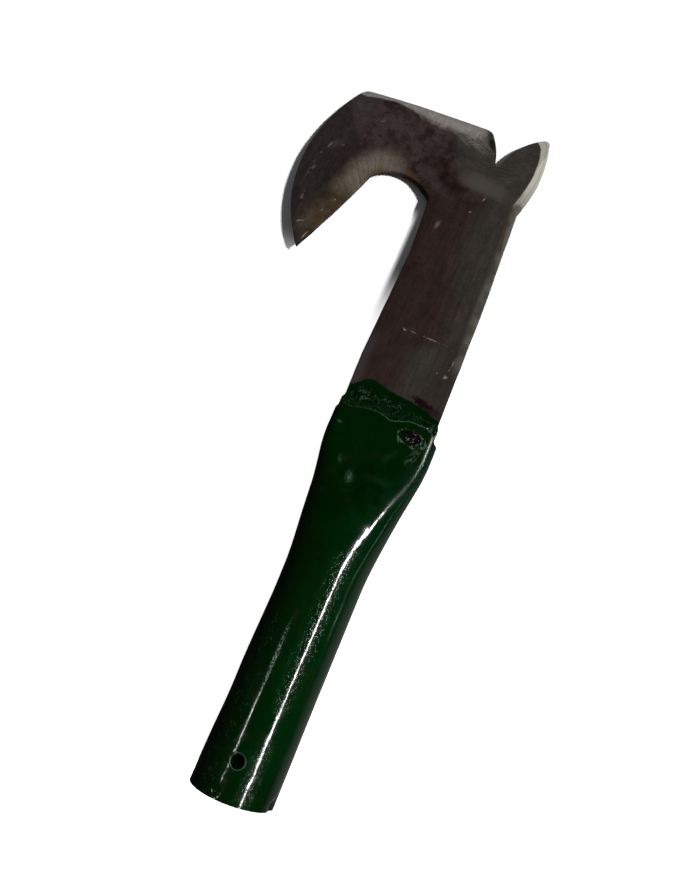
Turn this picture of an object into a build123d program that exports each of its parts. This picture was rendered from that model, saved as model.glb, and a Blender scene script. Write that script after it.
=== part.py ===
from build123d import *
import math
import os

# Billhook with a pipe handle. Millimetres. The origin is the centre of the pipe's open mouth.
# +Y runs along the handle to the blade, +X to the spine side, and +Z out of the front face.

# Pipe handle
PIPE_OUTSIDE = 33.7            # 1-inch nominal steel pipe
PIPE_WALL = 2.6
ROUND_LENGTH = 44.0            # from the open mouth, untouched and round
FLAT_START = 148.0             # from here to the blade the pipe is pressed flat
PALM_SPREAD = 0.3              # hammering makes each half of the palm this much wider
FOLD_RADIUS = 5.12             # outside radius of the two folds along the palm
CROSS_HOLE_PLACE = (-1.4, 14.5)
CROSS_HOLE_DIAMETER = 5.5

# Blade, a flat bar
BLADE_THICKNESS = 5.0
TANG_WIDTH = 40.0
TANG_END = 130.0               # how deep the tang reaches into the palm, from the origin
EDGE_LEFT = 0.35               # half of the steel left at a ground edge
HOOK_BEVEL = 9.0               # widest part of the ground bevel inside the hook
TOP_BEVEL = 4.4                # at the corners, and half as wide between them
SPUR_BEVEL = 3.6
SPINE_CHAMFER = 0.8

# Plug weld, in the front wall of the palm
PLUG_PLACE = (12.9, 155.5)
PLUG_LENGTH = 7.0
PLUG_WIDTH = 5.6
PLUG_TURN = -12.0              # degrees from +X
LIP_WIDTH = 1.0
LIP_HEIGHT = 0.6

NECK_START = 162.3             # the full width of the bar starts here, just outside the pipe
MOUTH = 160.5                  # the pipe's uneven cut end, on average

FACE = BLADE_THICKNESS / 2
PIPE_RADIUS = PIPE_OUTSIDE / 2


def oval(y, flattening, middle, inset):
    """Four tangent arcs round the pipe at y. Pressed flat, it keeps about the girth of the round pipe."""
    turn = math.radians(45.0 + 43.5 * flattening)
    crush = math.copysign(abs(flattening) ** 1.6, flattening)
    side = PIPE_RADIUS + (FOLD_RADIUS - PIPE_RADIUS) * crush
    quarter_girth = math.pi * (PIPE_OUTSIDE - PIPE_WALL) / 4 + PALM_SPREAD * flattening**4
    half_wall = PIPE_WALL / 2
    face = half_wall + (quarter_girth - (side - half_wall) * turn) / (math.pi / 2 - turn)
    side_centre = (face - side) * math.cos(turn)
    face_centre = (face - side) * math.sin(turn)
    corner_x = side_centre + (side - inset) * math.cos(turn)
    corner_z = (side - inset) * math.sin(turn)
    edge_x = side_centre + side - inset
    face_z = face - inset - face_centre

    def at(x, z):
        return (middle + x, y, z)

    return Wire(
        [
            Edge.make_three_point_arc(at(corner_x, -corner_z), at(edge_x, 0), at(corner_x, corner_z)),
            Edge.make_three_point_arc(at(corner_x, corner_z), at(0, face_z), at(-corner_x, corner_z)),
            Edge.make_three_point_arc(at(-corner_x, corner_z), at(-edge_x, 0), at(-corner_x, -corner_z)),
            Edge.make_three_point_arc(at(-corner_x, -corner_z), at(0, -face_z), at(corner_x, -corner_z)),
        ]
    )


def pipe_form(inset):
    """The solid inside the pipe's surface, or inside its bore when inset is the wall."""
    # How far the pipe is pressed flat, and how far it leans to the spine, at even steps along the taper.
    # Below 0 it is pinched the other way
    stages = (
        (0, 0), (-0.04, 0.1), (-0.09, 0.2), (-0.12, 0.3), (-0.12, 0.35), (-0.04, 0.3), (0.14, 0.2),
        (0.32, 0.1), (0.47, 0.1), (0.59, 0.2), (0.70, 0.35), (0.83, 0.35), (0.95, 0.2), (1.0, 0.15),
    )
    step = (FLAT_START - ROUND_LENGTH) / (len(stages) - 1)
    across = Plane(origin=(0, 0, 0), x_dir=(1, 0, 0), z_dir=(0, 1, 0))
    grip = Solid.make_cylinder(PIPE_RADIUS - inset, ROUND_LENGTH, across)
    rings = [oval(ROUND_LENGTH + step * number, *stage, inset) for number, stage in enumerate(stages)]
    taper = Solid.make_loft(rings)
    palm = Solid.extrude(Face(rings[-1]), Vector(0, 30, 0))
    return grip + taper + palm


def mouth_prism():
    """Everything on the handle's side of the pipe's uneven cut end, seen from the front."""
    far = 40.0
    left = (-far, 156.0)
    right = (far, 156.0)
    corner = (-24.2, 156.0)
    end_left = (-20.8, 159.8)
    end_right = (20.8, 159.2)
    lip = (24.3, 156.0)
    cut = Edge.make_spline(
        [
            Vector(*end_left), Vector(-14.5, 159.4), Vector(-6.5, 160.2), Vector(1.4, 159.7),
            Vector(8.6, 161.7), Vector(15.5, 162.2), Vector(*end_right),
        ]
    )
    outline = Wire(
        [
            Edge.make_line(left, corner), Edge.make_line(corner, end_left), cut,
            Edge.make_line(end_right, lip), Edge.make_line(lip, right), Edge.make_line(right, (far, -far)),
            Edge.make_line((far, -far), (-far, -far)), Edge.make_line((-far, -far), left),
        ]
    )
    return Solid.extrude(Face(outline), Vector(0, 0, 2 * far)).moved(Location((0, 0, -far)))


def plug_prism(grow, low, high):
    """An upright oval post at the plug weld."""
    oval_plane = Plane(origin=(*PLUG_PLACE, low)).rotated((0, 0, PLUG_TURN))
    rim = Wire.make_ellipse(PLUG_LENGTH / 2 + grow, PLUG_WIDTH / 2 + grow, oval_plane)
    return Solid.extrude(Face(rim), Vector(0, 0, high - low))


def make_pipe_handle():
    wall = pipe_form(0) - pipe_form(PIPE_WALL)
    wall = wall & mouth_prism()
    cross_hole = Solid.make_cylinder(CROSS_HOLE_DIAMETER / 2, 3 * PIPE_RADIUS).moved(
        Location((*CROSS_HOLE_PLACE, -1.5 * PIPE_RADIUS))
    )
    front = PIPE_WALL + FACE
    lip = plug_prism(LIP_WIDTH, front - 1.0, front + LIP_HEIGHT)
    return wall - cross_hole + lip - plug_prism(0, 1.0, 12.0)


def ground_bevel(path, widths, drop):
    """The wedge that grinding takes off the front along a path. The steel is on the path's left."""
    margin = 3.0
    widest = max(widths)
    sections = []
    for step, width in enumerate(widths):
        place = step / (len(widths) - 1)
        point = path.position_at(place)
        run = path.tangent_at(place)
        if step == 0:
            point = point - run * 1.0
        if step == len(widths) - 1:
            point = point + run * 1.0
        inward = Vector(-run.Y, run.X, 0)
        fall = drop * width / widest
        top = point + inward * width + Vector(0, 0, FACE)
        low = point - inward * margin + Vector(0, 0, FACE - fall * (1 + margin / width))
        high = point - inward * margin + Vector(0, 0, FACE + 1.0)
        sections.append(Wire.make_polygon([top, low, high], close=True))
    return Solid.make_loft(sections)


def make_tang():
    """The tang that fills the flattened pipe, its long edges ground off to clear the folds."""
    half = TANG_WIDTH / 2
    edge = 2.0
    plan = Wire.make_polygon(
        [
            (-half, NECK_START + 0.5), (-half, 149.0), (-18.3, 137.0), (-14.0, TANG_END),
            (14.0, TANG_END), (18.3, 137.0), (half, 149.0), (half, NECK_START + 0.5),
        ],
        close=True,
    )
    section = Wire.make_polygon(
        [
            (-half, 0, edge - FACE), (edge - half, 0, -FACE), (half - edge, 0, -FACE), (half, 0, edge - FACE),
            (half, 0, FACE - edge), (half - edge, 0, FACE), (edge - half, 0, FACE), (-half, 0, FACE - edge),
        ],
        close=True,
    )
    slab = Solid.extrude(Face(plan), Vector(0, 0, BLADE_THICKNESS)).moved(Location((0, 0, -FACE)))
    bar = Solid.extrude(Face(section), Vector(0, 200, 0))
    return slab & bar


def make_blade():
    tip = (-71.9, 223.2)
    back_of_hook = (-54.0, 270.4)
    crown = (-40.3, 278.2)
    throat = (-23.4, 270.0)
    neck_top = (-21.1, 238.0)
    neck_low = (-22.4, 184.0)
    mouth_left = (-21.8, NECK_START)
    mouth_right = (21.1, NECK_START)
    spine_low = (20.6, 222.0)
    spine_top = (19.0, 268.0)
    spur_foot = (18.6, 279.0)
    spur_middle = (22.0, 293.7)
    spur_shoulder = (21.0, 317.8)
    spur_tip = (18.0, 321.0)
    notch_right = (2.3, 299.2)
    notch_left = (-0.1, 299.3)
    notch_top = (-6.0, 313.8)
    top_right = (-11.2, 318.2)
    top_left = (-71.6, 316.5)
    hook_corner = (-74.4, 314.6)
    hook_back = (-87.8, 267.0)

    inner_hook = Wire(
        [
            Edge.make_three_point_arc(tip, (-63.6, 242.7), back_of_hook),
            Edge.make_three_point_arc(back_of_hook, (-48.8, 276.1), crown),
            Edge.make_three_point_arc(crown, (-31.5, 276.1), throat),
        ]
    )
    spine = Wire(
        [
            Edge.make_line(mouth_right, spine_low),
            Edge.make_line(spine_low, spine_top),
            Edge.make_line(spine_top, spur_foot),
        ]
    )
    spur_edge = Wire(
        [
            Edge.make_three_point_arc(spur_foot, (20.6, 286.5), spur_middle),
            Edge.make_three_point_arc(spur_middle, (22.9, 305.5), spur_shoulder),
        ]
    )
    top_grind = Wire([Edge.make_line((-4.0, 318.4), (-78.0, 316.35))])
    outline = Wire(
        [
            *inner_hook.edges(),
            Edge.make_three_point_arc(throat, (-21.7, 251.0), neck_top),
            Edge.make_line(neck_top, neck_low),
            Edge.make_line(neck_low, mouth_left),
            Edge.make_line(mouth_left, mouth_right),
            *spine.edges(),
            *spur_edge.edges(),
            Edge.make_three_point_arc(spur_shoulder, (20.2, 320.4), spur_tip),
            Edge.make_three_point_arc(spur_tip, (8.2, 312.6), notch_right),
            Edge.make_three_point_arc(notch_right, (1.2, 298.1), notch_left),
            Edge.make_three_point_arc(notch_left, (-2.3, 306.6), notch_top),
            Edge.make_three_point_arc(notch_top, (-8.1, 317.1), top_right),
            Edge.make_line(top_right, top_left),
            Edge.make_three_point_arc(top_left, (-73.3, 315.9), hook_corner),
            Edge.make_three_point_arc(hook_corner, (-84.7, 291.5), hook_back),
            Edge.make_three_point_arc(hook_back, (-83.4, 244.0), tip),
        ]
    )
    plate = Solid.extrude(Face(outline), Vector(0, 0, BLADE_THICKNESS)).moved(Location((0, 0, -FACE)))

    ground_edge = FACE - EDGE_LEFT
    hook_widths = [5.0, 7.5, HOOK_BEVEL, HOOK_BEVEL, HOOK_BEVEL, 8.5, 6.0, 3.0, 0.6]
    hook_wedge = ground_bevel(inner_hook, hook_widths, ground_edge)
    top_widths = [TOP_BEVEL, 0.8 * TOP_BEVEL, 0.5 * TOP_BEVEL, 0.55 * TOP_BEVEL, 0.95 * TOP_BEVEL]
    top_wedge = ground_bevel(top_grind, top_widths, 2.1)
    spur_wedge = ground_bevel(spur_edge, [0.5, 2.6, SPUR_BEVEL, SPUR_BEVEL, 3.2, 1.6, 0.5], ground_edge)
    spine_wedge = ground_bevel(spine, [0.2, SPINE_CHAMFER, SPINE_CHAMFER, SPINE_CHAMFER], 0.7)
    for wedge in (hook_wedge, top_wedge, spur_wedge, spine_wedge, hook_wedge.mirror(Plane.XY)):
        plate = plate - wedge
    return plate + make_tang()


def make_bead(toes):
    """Weld metal across the front of the mouth. A toe is a place on the blade and the bead's rise there."""
    back = 157.0
    sections = []
    for x, toe, rise in toes:
        top = FACE + rise
        bulge = ((toe + MOUTH) / 2 + 0.7, FACE + 0.72 * rise)
        corners = [(x, back, 0), (x, toe, 0), (x, toe, FACE), (x, MOUTH, top), (x, back, top)]
        sections.append(
            Wire(
                [
                    Edge.make_line(corners[0], corners[1]),
                    Edge.make_line(corners[1], corners[2]),
                    Edge.make_three_point_arc(corners[2], (x, *bulge), corners[3]),
                    Edge.make_line(corners[3], corners[4]),
                    Edge.make_line(corners[4], corners[0]),
                ]
            )
        )
    return Solid.make_loft(sections) - mouth_prism()


def make_plug_weld():
    """Weld metal on the tang's face inside the torn hole, a little below the hole's lips."""
    post = plug_prism(0, FACE, FACE + PIPE_WALL + 0.2)
    crown_radius = 9.0
    crown = Solid.make_sphere(crown_radius, angle1=-90).moved(
        Location((*PLUG_PLACE, FACE + PIPE_WALL - crown_radius))
    )
    return post & crown


blade = make_blade()
pipe_handle = make_pipe_handle()
front_toes = (
    (-22.6, 162.0, 0.9), (-18.5, 163.4, 2.0), (-14.0, 163.0, 2.3), (-9.5, 164.4, 2.0), (-4.5, 164.6, 2.4),
    (0.5, 166.1, 2.1), (5.0, 166.0, 2.4), (10.0, 167.1, 2.1), (14.5, 166.1, 2.4), (18.5, 166.0, 1.9),
    (21.8, 163.2, 0.9),
)
back_toes = (
    (-22.6, 162.4, 0.9), (-17.5, 164.6, 2.2), (-12.0, 164.0, 2.4), (-6.5, 165.3, 2.1), (-1.5, 164.7, 2.4),
    (4.0, 165.8, 2.1), (9.5, 165.2, 2.4), (15.0, 165.7, 2.0), (19.0, 164.9, 1.9), (21.8, 162.6, 0.9),
)
nodes = {
    "blade": blade,
    "pipe_handle": pipe_handle,
    "mouth_weld_front": make_bead(front_toes) - blade,
    "mouth_weld_back": (make_bead(back_toes) - blade.mirror(Plane.XY)).mirror(Plane.XY),
    "plug_weld": make_plug_weld(),
}

os.makedirs("parts", exist_ok=True)
for name, solid in nodes.items():
    export_step(solid, f"parts/{name}.step")
    print(name, round(solid.volume), "mm3", "valid" if solid.is_valid else "not valid")
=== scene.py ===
import math

import bmesh
import bpy
from mathutils import Matrix, Vector, kdtree, noise


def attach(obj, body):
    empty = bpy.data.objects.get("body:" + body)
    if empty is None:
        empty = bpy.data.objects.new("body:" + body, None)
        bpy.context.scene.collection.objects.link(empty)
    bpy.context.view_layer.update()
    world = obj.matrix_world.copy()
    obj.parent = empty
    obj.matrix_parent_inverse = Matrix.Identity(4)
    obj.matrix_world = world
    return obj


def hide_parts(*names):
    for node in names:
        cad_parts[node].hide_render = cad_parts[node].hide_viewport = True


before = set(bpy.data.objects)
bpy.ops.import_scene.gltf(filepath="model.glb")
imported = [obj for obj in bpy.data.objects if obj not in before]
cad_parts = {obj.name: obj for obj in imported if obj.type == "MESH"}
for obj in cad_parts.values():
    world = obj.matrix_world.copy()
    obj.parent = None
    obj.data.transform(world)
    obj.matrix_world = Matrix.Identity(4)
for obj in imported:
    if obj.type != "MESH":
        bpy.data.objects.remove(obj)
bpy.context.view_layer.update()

# Blade
# One flat bar of spring steel, forged into a hook with a spur on its back, and ground along its working
# edges. Forge scale still covers the faces. The enamel of the handle runs a little way up its neck.

MM = 0.001
BLADE_SIDES = (-87.0, 22.0)    # across the blade, from the hook's back to the spur
BLADE_ENDS = (131.0, 320.0)    # along it, from the tang to the top edge
BLADE_CELL = 2.2               # the faces are divided this finely, so that they can be uneven
SOFT_CORNER = 0.16
SHARP_CORNER = 30.0            # corners that turn by more degrees than this are softened
HOOK_EDGE_HEIGHT = 0.6         # steel nearer to the middle than this belongs to the hook's ground edge
HOOK_SIDE = -23.0
HOOK_TOP = 290.0
SPUR_EDGE_HEIGHT = 2.3
SPUR_SIDE = 17.4
SPUR_ROOT = 280.0
EDGE_POINT_GAP = 0.5
TRUE_UP_TO = 172.0             # under the enamel the bar is left true, for the welds to sit on
TRUE_FADE = 12.0


def shade(red, green, blue):
    """The linear colour of a screen colour."""
    channels = [value / 255 for value in (red, green, blue)]
    return tuple(c / 12.92 if c <= 0.04045 else ((c + 0.055) / 1.055) ** 2.4 for c in channels) + (1.0,)


def emptied(owner):
    """The node tree of a material or of the world, with nothing in it."""
    owner.use_nodes = True
    owner.node_tree.nodes.clear()
    return owner.node_tree


class Reading:
    """A value or a colour on its way through a finish. Arithmetic on it adds the Math nodes."""

    def __init__(self, finish, socket):
        self.finish = finish
        self.socket = socket

    def sum(self, operation, first, second=0.0):
        return self.finish.node("ShaderNodeMath", {"operation": operation}, {0: first, 1: second})

    def __add__(self, other):
        return self.sum("ADD", self, other)

    def __radd__(self, other):
        return self.sum("ADD", other, self)

    def __sub__(self, other):
        return self.sum("SUBTRACT", self, other)

    def __rsub__(self, other):
        return self.sum("SUBTRACT", other, self)

    def __mul__(self, other):
        return self.sum("MULTIPLY", self, other)

    def __rmul__(self, other):
        return self.sum("MULTIPLY", other, self)

    def __truediv__(self, other):
        return self.sum("DIVIDE", self, other)

    def __rtruediv__(self, other):
        return self.sum("DIVIDE", other, self)

    def __pow__(self, other):
        return self.sum("POWER", self, other)

    def __abs__(self):
        return self.sum("ABSOLUTE", self)


class Finish:
    """One material. Its patterns are in millimetres of the tool's own place."""

    def __init__(self, name):
        self.material = bpy.data.materials.new(name)
        self.tree = emptied(self.material)
        in_metres = self.node("ShaderNodeTexCoord", output="Object")
        to_millimetres = {"Vector": in_metres, "Scale": (1 / MM,) * 3}
        self.place = self.node("ShaderNodeMapping", values=to_millimetres)
        self.x = self.part_of(self.place, "X")
        self.y = self.part_of(self.place, "Y")
        self.z = self.part_of(self.place, "Z")

    def node(self, kind, settings=None, values=None, output=0):
        """Any node. Its settings are set first, and then the values or links of its sockets."""
        made = self.tree.nodes.new(kind)
        for name, setting in (settings or {}).items():
            if name == "curve":
                points = made.mapping.curves[0].points
                for number, (place, height) in enumerate(setting):
                    point = points[number] if number < 2 else points.new(place, height)
                    point.location = (place, height)
                made.mapping.update()
            else:
                setattr(made, name, setting)
        for name, value in (values or {}).items():
            if isinstance(value, Reading):
                self.tree.links.new(value.socket, made.inputs[name])
            else:
                made.inputs[name].default_value = value
        return Reading(self, made.outputs[output]) if made.outputs else None

    def part_of(self, vector, axis):
        return self.node("ShaderNodeSeparateXYZ", values={"Vector": vector}, output=axis)

    def stretched(self, scale, turn=0.0):
        """The place, drawn out along an axis where its scale is small."""
        turned = self.node("ShaderNodeMapping", values={"Vector": self.place, "Rotation": (0, 0, turn)})
        return self.node("ShaderNodeMapping", values={"Vector": turned, "Scale": scale})

    def noise(self, grain, detail=2.0, place=None, roughness=0.5):
        """Cloudy noise from 0 to 1. Its lumps are about grain millimetres wide."""
        values = {
            "Vector": place or self.place, "Scale": 1 / grain, "Detail": detail, "Roughness": roughness,
        }
        return self.node("ShaderNodeTexNoise", values=values, output="Fac")

    def rise(self, value, low, high):
        """0 below low, 1 above high, smooth between. It falls instead where low is above high."""
        values = {"Value": value, "From Min": low, "From Max": high}
        return self.node("ShaderNodeMapRange", {"interpolation_type": "SMOOTHSTEP"}, values, "Result")

    def mix(self, share, first, second):
        """The first colour where the share is 0, and the second where it is 1."""
        return self.node("ShaderNodeMix", {"data_type": "RGBA"}, {0: share, 6: first, 7: second}, 2)

    def layers(self, colour, rows):
        """The colour with others over it. Each row has the share that the colour beside it covers."""
        for share, cover in rows:
            colour = self.mix(share, colour, cover)
        return colour

    def tint(self, colour, factor):
        """The colour made lighter or darker by a value."""
        if isinstance(colour, tuple):
            colour = colour[:3]
        return self.node("ShaderNodeVectorMath", {"operation": "SCALE"}, {0: colour, "Scale": factor})

    def ragged(self, amount, grain):
        """The place, shaken about, for marks with uneven borders."""
        values = {"Vector": self.place, "Scale": 1 / grain, "Detail": 3.0}
        shake = self.node("ShaderNodeTexNoise", values=values, output="Color")
        values = {0: shake, 1: (0.5, 0.5, 0.5)}
        centred = self.node("ShaderNodeVectorMath", {"operation": "SUBTRACT"}, values)
        values = {0: centred, "Scale": 2 * amount}
        scaled = self.node("ShaderNodeVectorMath", {"operation": "SCALE"}, values)
        return self.node("ShaderNodeVectorMath", {"operation": "ADD"}, {0: self.place, 1: scaled})

    def mark(self, x, y, length, width, turn=0.0, fade=0.5, place=None):
        """1 inside an oval mark on the faces, 0 outside it. Its turn is in degrees from +X."""
        values = {
            "Vector": place or self.place, "Location": (x, y, 0), "Rotation": (0, 0, math.radians(turn)),
            "Scale": (length / 2, width / 2, 1e6),
        }
        local = self.node("ShaderNodeMapping", {"vector_type": "TEXTURE"}, values)
        far = self.node("ShaderNodeVectorMath", {"operation": "LENGTH"}, {0: local}, "Value")
        return self.rise(far, 1.0, 1.0 - fade)

    def marks(self, rows, place=None):
        """Several marks together, with a row for each: x, y, length, width, turn and fade."""
        return sum(self.mark(*row, place) for row in rows)

    def bump(self, height):
        """Height in millimetres, as a normal."""
        values = {"Height": height, "Distance": MM, "Strength": 1.0}
        return self.node("ShaderNodeBump", values=values, output="Normal")

    def shader(self, colour, roughness, normal, metallic=0.0, settings=None):
        """The finished material."""
        values = {"Base Color": colour, "Roughness": roughness, "Metallic": metallic, "Normal": normal}
        values.update(settings or {})
        surface = self.node("ShaderNodeBsdfPrincipled", values=values)
        self.node("ShaderNodeOutputMaterial", values={"Surface": surface})
        return self.material


def joined_copy(node):
    """The CAD node's mesh as a bmesh, in millimetres, with its loose triangles joined into flat faces."""
    form = bmesh.new()
    form.from_mesh(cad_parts[node].data)
    bmesh.ops.scale(form, vec=(1 / MM,) * 3, verts=form.verts)
    bmesh.ops.remove_doubles(form, verts=form.verts, dist=0.002)
    bmesh.ops.dissolve_limit(form, angle_limit=math.radians(0.4), verts=form.verts, edges=form.edges)
    return form


def slice_up(form, axis, span, step):
    """Cuts every face along evenly spaced planes, so that its inside can be moved."""
    low, high = span
    for number in range(int((high - low) / step) + 1):
        point = Vector((0, 0, 0))
        point[axis] = low + number * step
        direction = Vector((0, 0, 0))
        direction[axis] = 1
        everything = [*form.verts, *form.edges, *form.faces]
        bmesh.ops.bisect_plane(form, geom=everything, dist=0.0005, plane_co=point, plane_no=direction)


def piece_from(form, name, *materials, sharp=40.0):
    """A finished object of this bmesh, with smooth faces and crisp edges where it turns sharply."""
    for face in form.faces:
        face.smooth = True
    for edge in form.edges:
        edge.smooth = len(edge.link_faces) == 2 and edge.calc_face_angle(0) < math.radians(sharp)
    bmesh.ops.scale(form, vec=(MM,) * 3, verts=form.verts)
    mesh = bpy.data.meshes.new(name)
    form.to_mesh(mesh)
    form.free()
    for material in materials:
        mesh.materials.append(material)
    piece = bpy.data.objects.new(name, mesh)
    bpy.context.scene.collection.objects.link(piece)
    return piece


def nearness(form, layer_name, points):
    """Stores how far every vertex is from the nearest of these points."""
    tree = kdtree.KDTree(len(points))
    for number, point in enumerate(points):
        tree.insert(point, number)
    tree.balance()
    layer = form.verts.layers.float.new(layer_name)
    for vertex in form.verts:
        vertex[layer] = tree.find((vertex.co.x, vertex.co.y, 0))[2]


def edge_points(form, chosen):
    """Evenly spaced points along the edges whose two ends are chosen."""
    points = []
    for edge in form.edges:
        if all(chosen(vertex.co) for vertex in edge.verts):
            start, end = (vertex.co.copy() for vertex in edge.verts)
            count = max(1, int((end - start).length / EDGE_POINT_GAP))
            for number in range(count + 1):
                between = start.lerp(end, number / count)
                points.append((between.x, between.y, 0))
    return points


def on_hook_edge(place):
    return abs(place.z) < HOOK_EDGE_HEIGHT and place.x < HOOK_SIDE and place.y < HOOK_TOP


def on_spur_ground_edge(place):
    return place.z < SPUR_EDGE_HEIGHT and place.x > SPUR_SIDE and place.y > SPUR_ROOT


blade_form = joined_copy("blade")
hook_points = edge_points(blade_form, on_hook_edge)
spur_points = edge_points(blade_form, on_spur_ground_edge)
corners = [edge for edge in blade_form.edges if edge.calc_face_angle(0) > math.radians(SHARP_CORNER)]
bmesh.ops.bevel(
    blade_form, geom=corners, offset=SOFT_CORNER, offset_type="OFFSET", segments=2, profile=0.5,
    affect="EDGES", material=-1, clamp_overlap=True,
)
slice_up(blade_form, 0, BLADE_SIDES, BLADE_CELL)
slice_up(blade_form, 1, BLADE_ENDS, BLADE_CELL)
nearness(blade_form, "from_hook_edge", hook_points)
nearness(blade_form, "from_spur_edge", spur_points)

# Forging left the faces and the edges a little uneven
for vertex in blade_form.verts:
    free = min(max((vertex.co.y - TRUE_UP_TO) / TRUE_FADE, 0), 1)
    swell = noise.noise(vertex.co * 0.045) * 0.20 + noise.noise(vertex.co * 0.13) * 0.06
    vertex.co.z += free * swell * (1 if vertex.co.z > 0 else -1)
    side = noise.noise(Vector((vertex.co.x, vertex.co.y, 40)) * 0.10) * 0.16
    vertex.co.x += free * side * (1 if vertex.co.x > 0 else -1)

steel = Finish("blade_steel")

# The enamel's brushed border across the neck, as a height over the width of the neck
border = steel.node(
    "ShaderNodeFloatCurve",
    {"curve": [
        (0.0, 0.40), (0.070, 0.44), (0.14, 0.56), (0.20, 0.69), (0.264, 0.71), (0.33, 0.67), (0.46, 0.60),
        (0.60, 0.57), (0.76, 0.48), (0.90, 0.37), (1.0, 0.31),
    ]},
    {"Value": (steel.x + 25) / 50},
)
brushed = steel.noise(2.6, 3.0) - 0.5
border_height = 160 + 20 * border + 1.1 * brushed
under_enamel = steel.rise(steel.y - border_height + 0.7 * (steel.noise(0.8, 2.0) - 0.5), 0.5, -0.35)

# Fine grain, and long fine lines left by the file and the mill along the neck
drift = steel.noise(30, 3.0) - 0.5
mottle = steel.noise(9, 4.0, roughness=0.6)
grit = steel.noise(0.9, 3.0)
patchy = steel.noise(3.2, 3.0)
along_neck = steel.noise(1.0, 3.0, steel.stretched((1.6, 0.05, 1.0)), 0.6)
fine_lines = steel.noise(1.0, 3.0, steel.stretched((0.8, 0.10, 1.0), 0.05), 0.6)

# Forge scale on the neck: purple brown on the hook's side, greyer on the spine's side and low down
grey_from = 1.5 + 6.0 * steel.rise(steel.y, 242, 222) - 9.5 * steel.rise(steel.y, 203, 193) + 5.0 * drift
grey_side = steel.rise(steel.x - grey_from, -7.0, 7.0)
neck_brown = steel.mix(mottle, shade(33, 22, 20), shade(49, 36, 34))
neck_grey = steel.mix(mottle, shade(44, 40, 36), shade(54, 50, 45))
browner_corner = steel.rise(steel.y, 214, 200) * steel.rise(steel.x, 8, 14)
neck_grey = steel.mix(0.6 * browner_corner, neck_grey, shade(41, 34, 30))
scale_colour = steel.mix(grey_side, neck_brown, neck_grey)
hook_side_edge = steel.rise(steel.x + 2 * drift, -15, -23)
scale_colour = steel.mix(0.55 * hook_side_edge, scale_colour, shade(28, 17, 15))

# Forge scale on the head: darker and more purple in patches, greyer towards the hook's back
in_head = steel.rise(steel.y + 6 * drift + 3 * (patchy - 0.5), 270, 282) * steel.rise(steel.x, 8, -12)
head_dark = steel.rise(0.5 * mottle + 0.5 * steel.noise(3.4, 4.0, roughness=0.65), 0.40, 0.58)
head_colour = steel.mix(head_dark, shade(36, 26, 25), shade(56, 46, 45))
scale_colour = steel.mix(in_head, scale_colour, head_colour)
back_of_hook = steel.rise(steel.x + 12 * drift, -62, -74)
back_colour = steel.mix(patchy, shade(46, 41, 42), shade(60, 57, 56))
scale_colour = steel.mix(0.65 * back_of_hook, scale_colour, back_colour)
rim_of_back = steel.rise(steel.x + 0.62 * steel.y, 113.5, 109.5) * steel.rise(steel.x, -58, -68)
scale_colour = steel.mix(0.6 * rim_of_back, scale_colour, shade(30, 23, 21))
below_throat = steel.mark(-19, 284, 46, 18, 144, 0.7, steel.ragged(4.0, 7.0))
throat_colour = steel.mix(head_dark, shade(27, 15, 13), shade(42, 29, 27))
scale_colour = steel.mix(0.9 * below_throat, scale_colour, throat_colour)
line_share = 1 - 0.6 * in_head
scale_colour = steel.tint(scale_colour, 1 + line_share * (0.9 * along_neck + 0.9 * fine_lines - 0.9))
scale_colour = steel.tint(scale_colour, 0.28 + 0.84 * grit + 0.60 * patchy)

# The grinder's lines run square across the hook's edge and fade into the scale
HOOK_MIDDLE = (-40.0, 240.0)
round_hook = steel.node(
    "ShaderNodeMath", {"operation": "ARCTAN2"}, {0: steel.y - HOOK_MIDDLE[1], 1: steel.x - HOOK_MIDDLE[0]}
)
fan = steel.node("ShaderNodeCombineXYZ", values={"X": 46 * round_hook, "Y": 0.04 * steel.y, "Z": 0.0})
grinder_lines = steel.noise(1.0, 2.0, fan)
from_hook = steel.node("ShaderNodeAttribute", {"attribute_name": "from_hook_edge"}, output="Fac")
ragged_edge = from_hook + 6 * (mottle - 0.5) + 3.0 * (grinder_lines - 0.5)
ground = steel.rise(ragged_edge, 14.5, 5.0) * steel.rise(steel.x + 2 * drift, -21, -31)
low_on_hook = steel.rise(steel.y + 8 * drift, 272, 250)
browner = steel.rise(steel.noise(6, 3.0), 0.40, 0.62)
low_colour = steel.mix(browner, shade(64, 55, 44), shade(50, 38, 22))
high_colour = steel.mix(0.35 * browner, shade(100, 91, 81), shade(74, 63, 50))
ground_colour = steel.mix(low_on_hook, high_colour, low_colour)
ground_colour = steel.tint(ground_colour, -0.15 + 1.4 * grinder_lines + 0.95 * grit)
steel_colour = steel.mix(0.92 * ground, scale_colour, ground_colour)

# Rust in the throat and low on the hook. The throat's side wall is painted a lighter rust brown, as painted
# light where the lamps leave it in shade
rusty = steel.ragged(3.0, 6.0)
throat_rust = steel.rise(from_hook, 4.6, 0.8) * steel.mark(-30, 276.5, 26, 14, -48, 0.7, rusty)
crown_rust = steel.rise(from_hook, 3.6, 0.8) * steel.rise(steel.x, -58, -40) * steel.rise(steel.y, 262, 274)
tip_rust = steel.mark(-67, 243, 30, 6, 66, 0.9, rusty) * steel.rise(patchy, 0.40, 0.58)
edge_rust = steel.rise(from_hook, 2.6, 0.4) * steel.rise(steel.noise(7, 3.0), 0.42, 0.6)
in_throat = steel.rise(abs(steel.x + 29), 12, 8) * steel.rise(abs(steel.y - 276), 14, 8)
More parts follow.
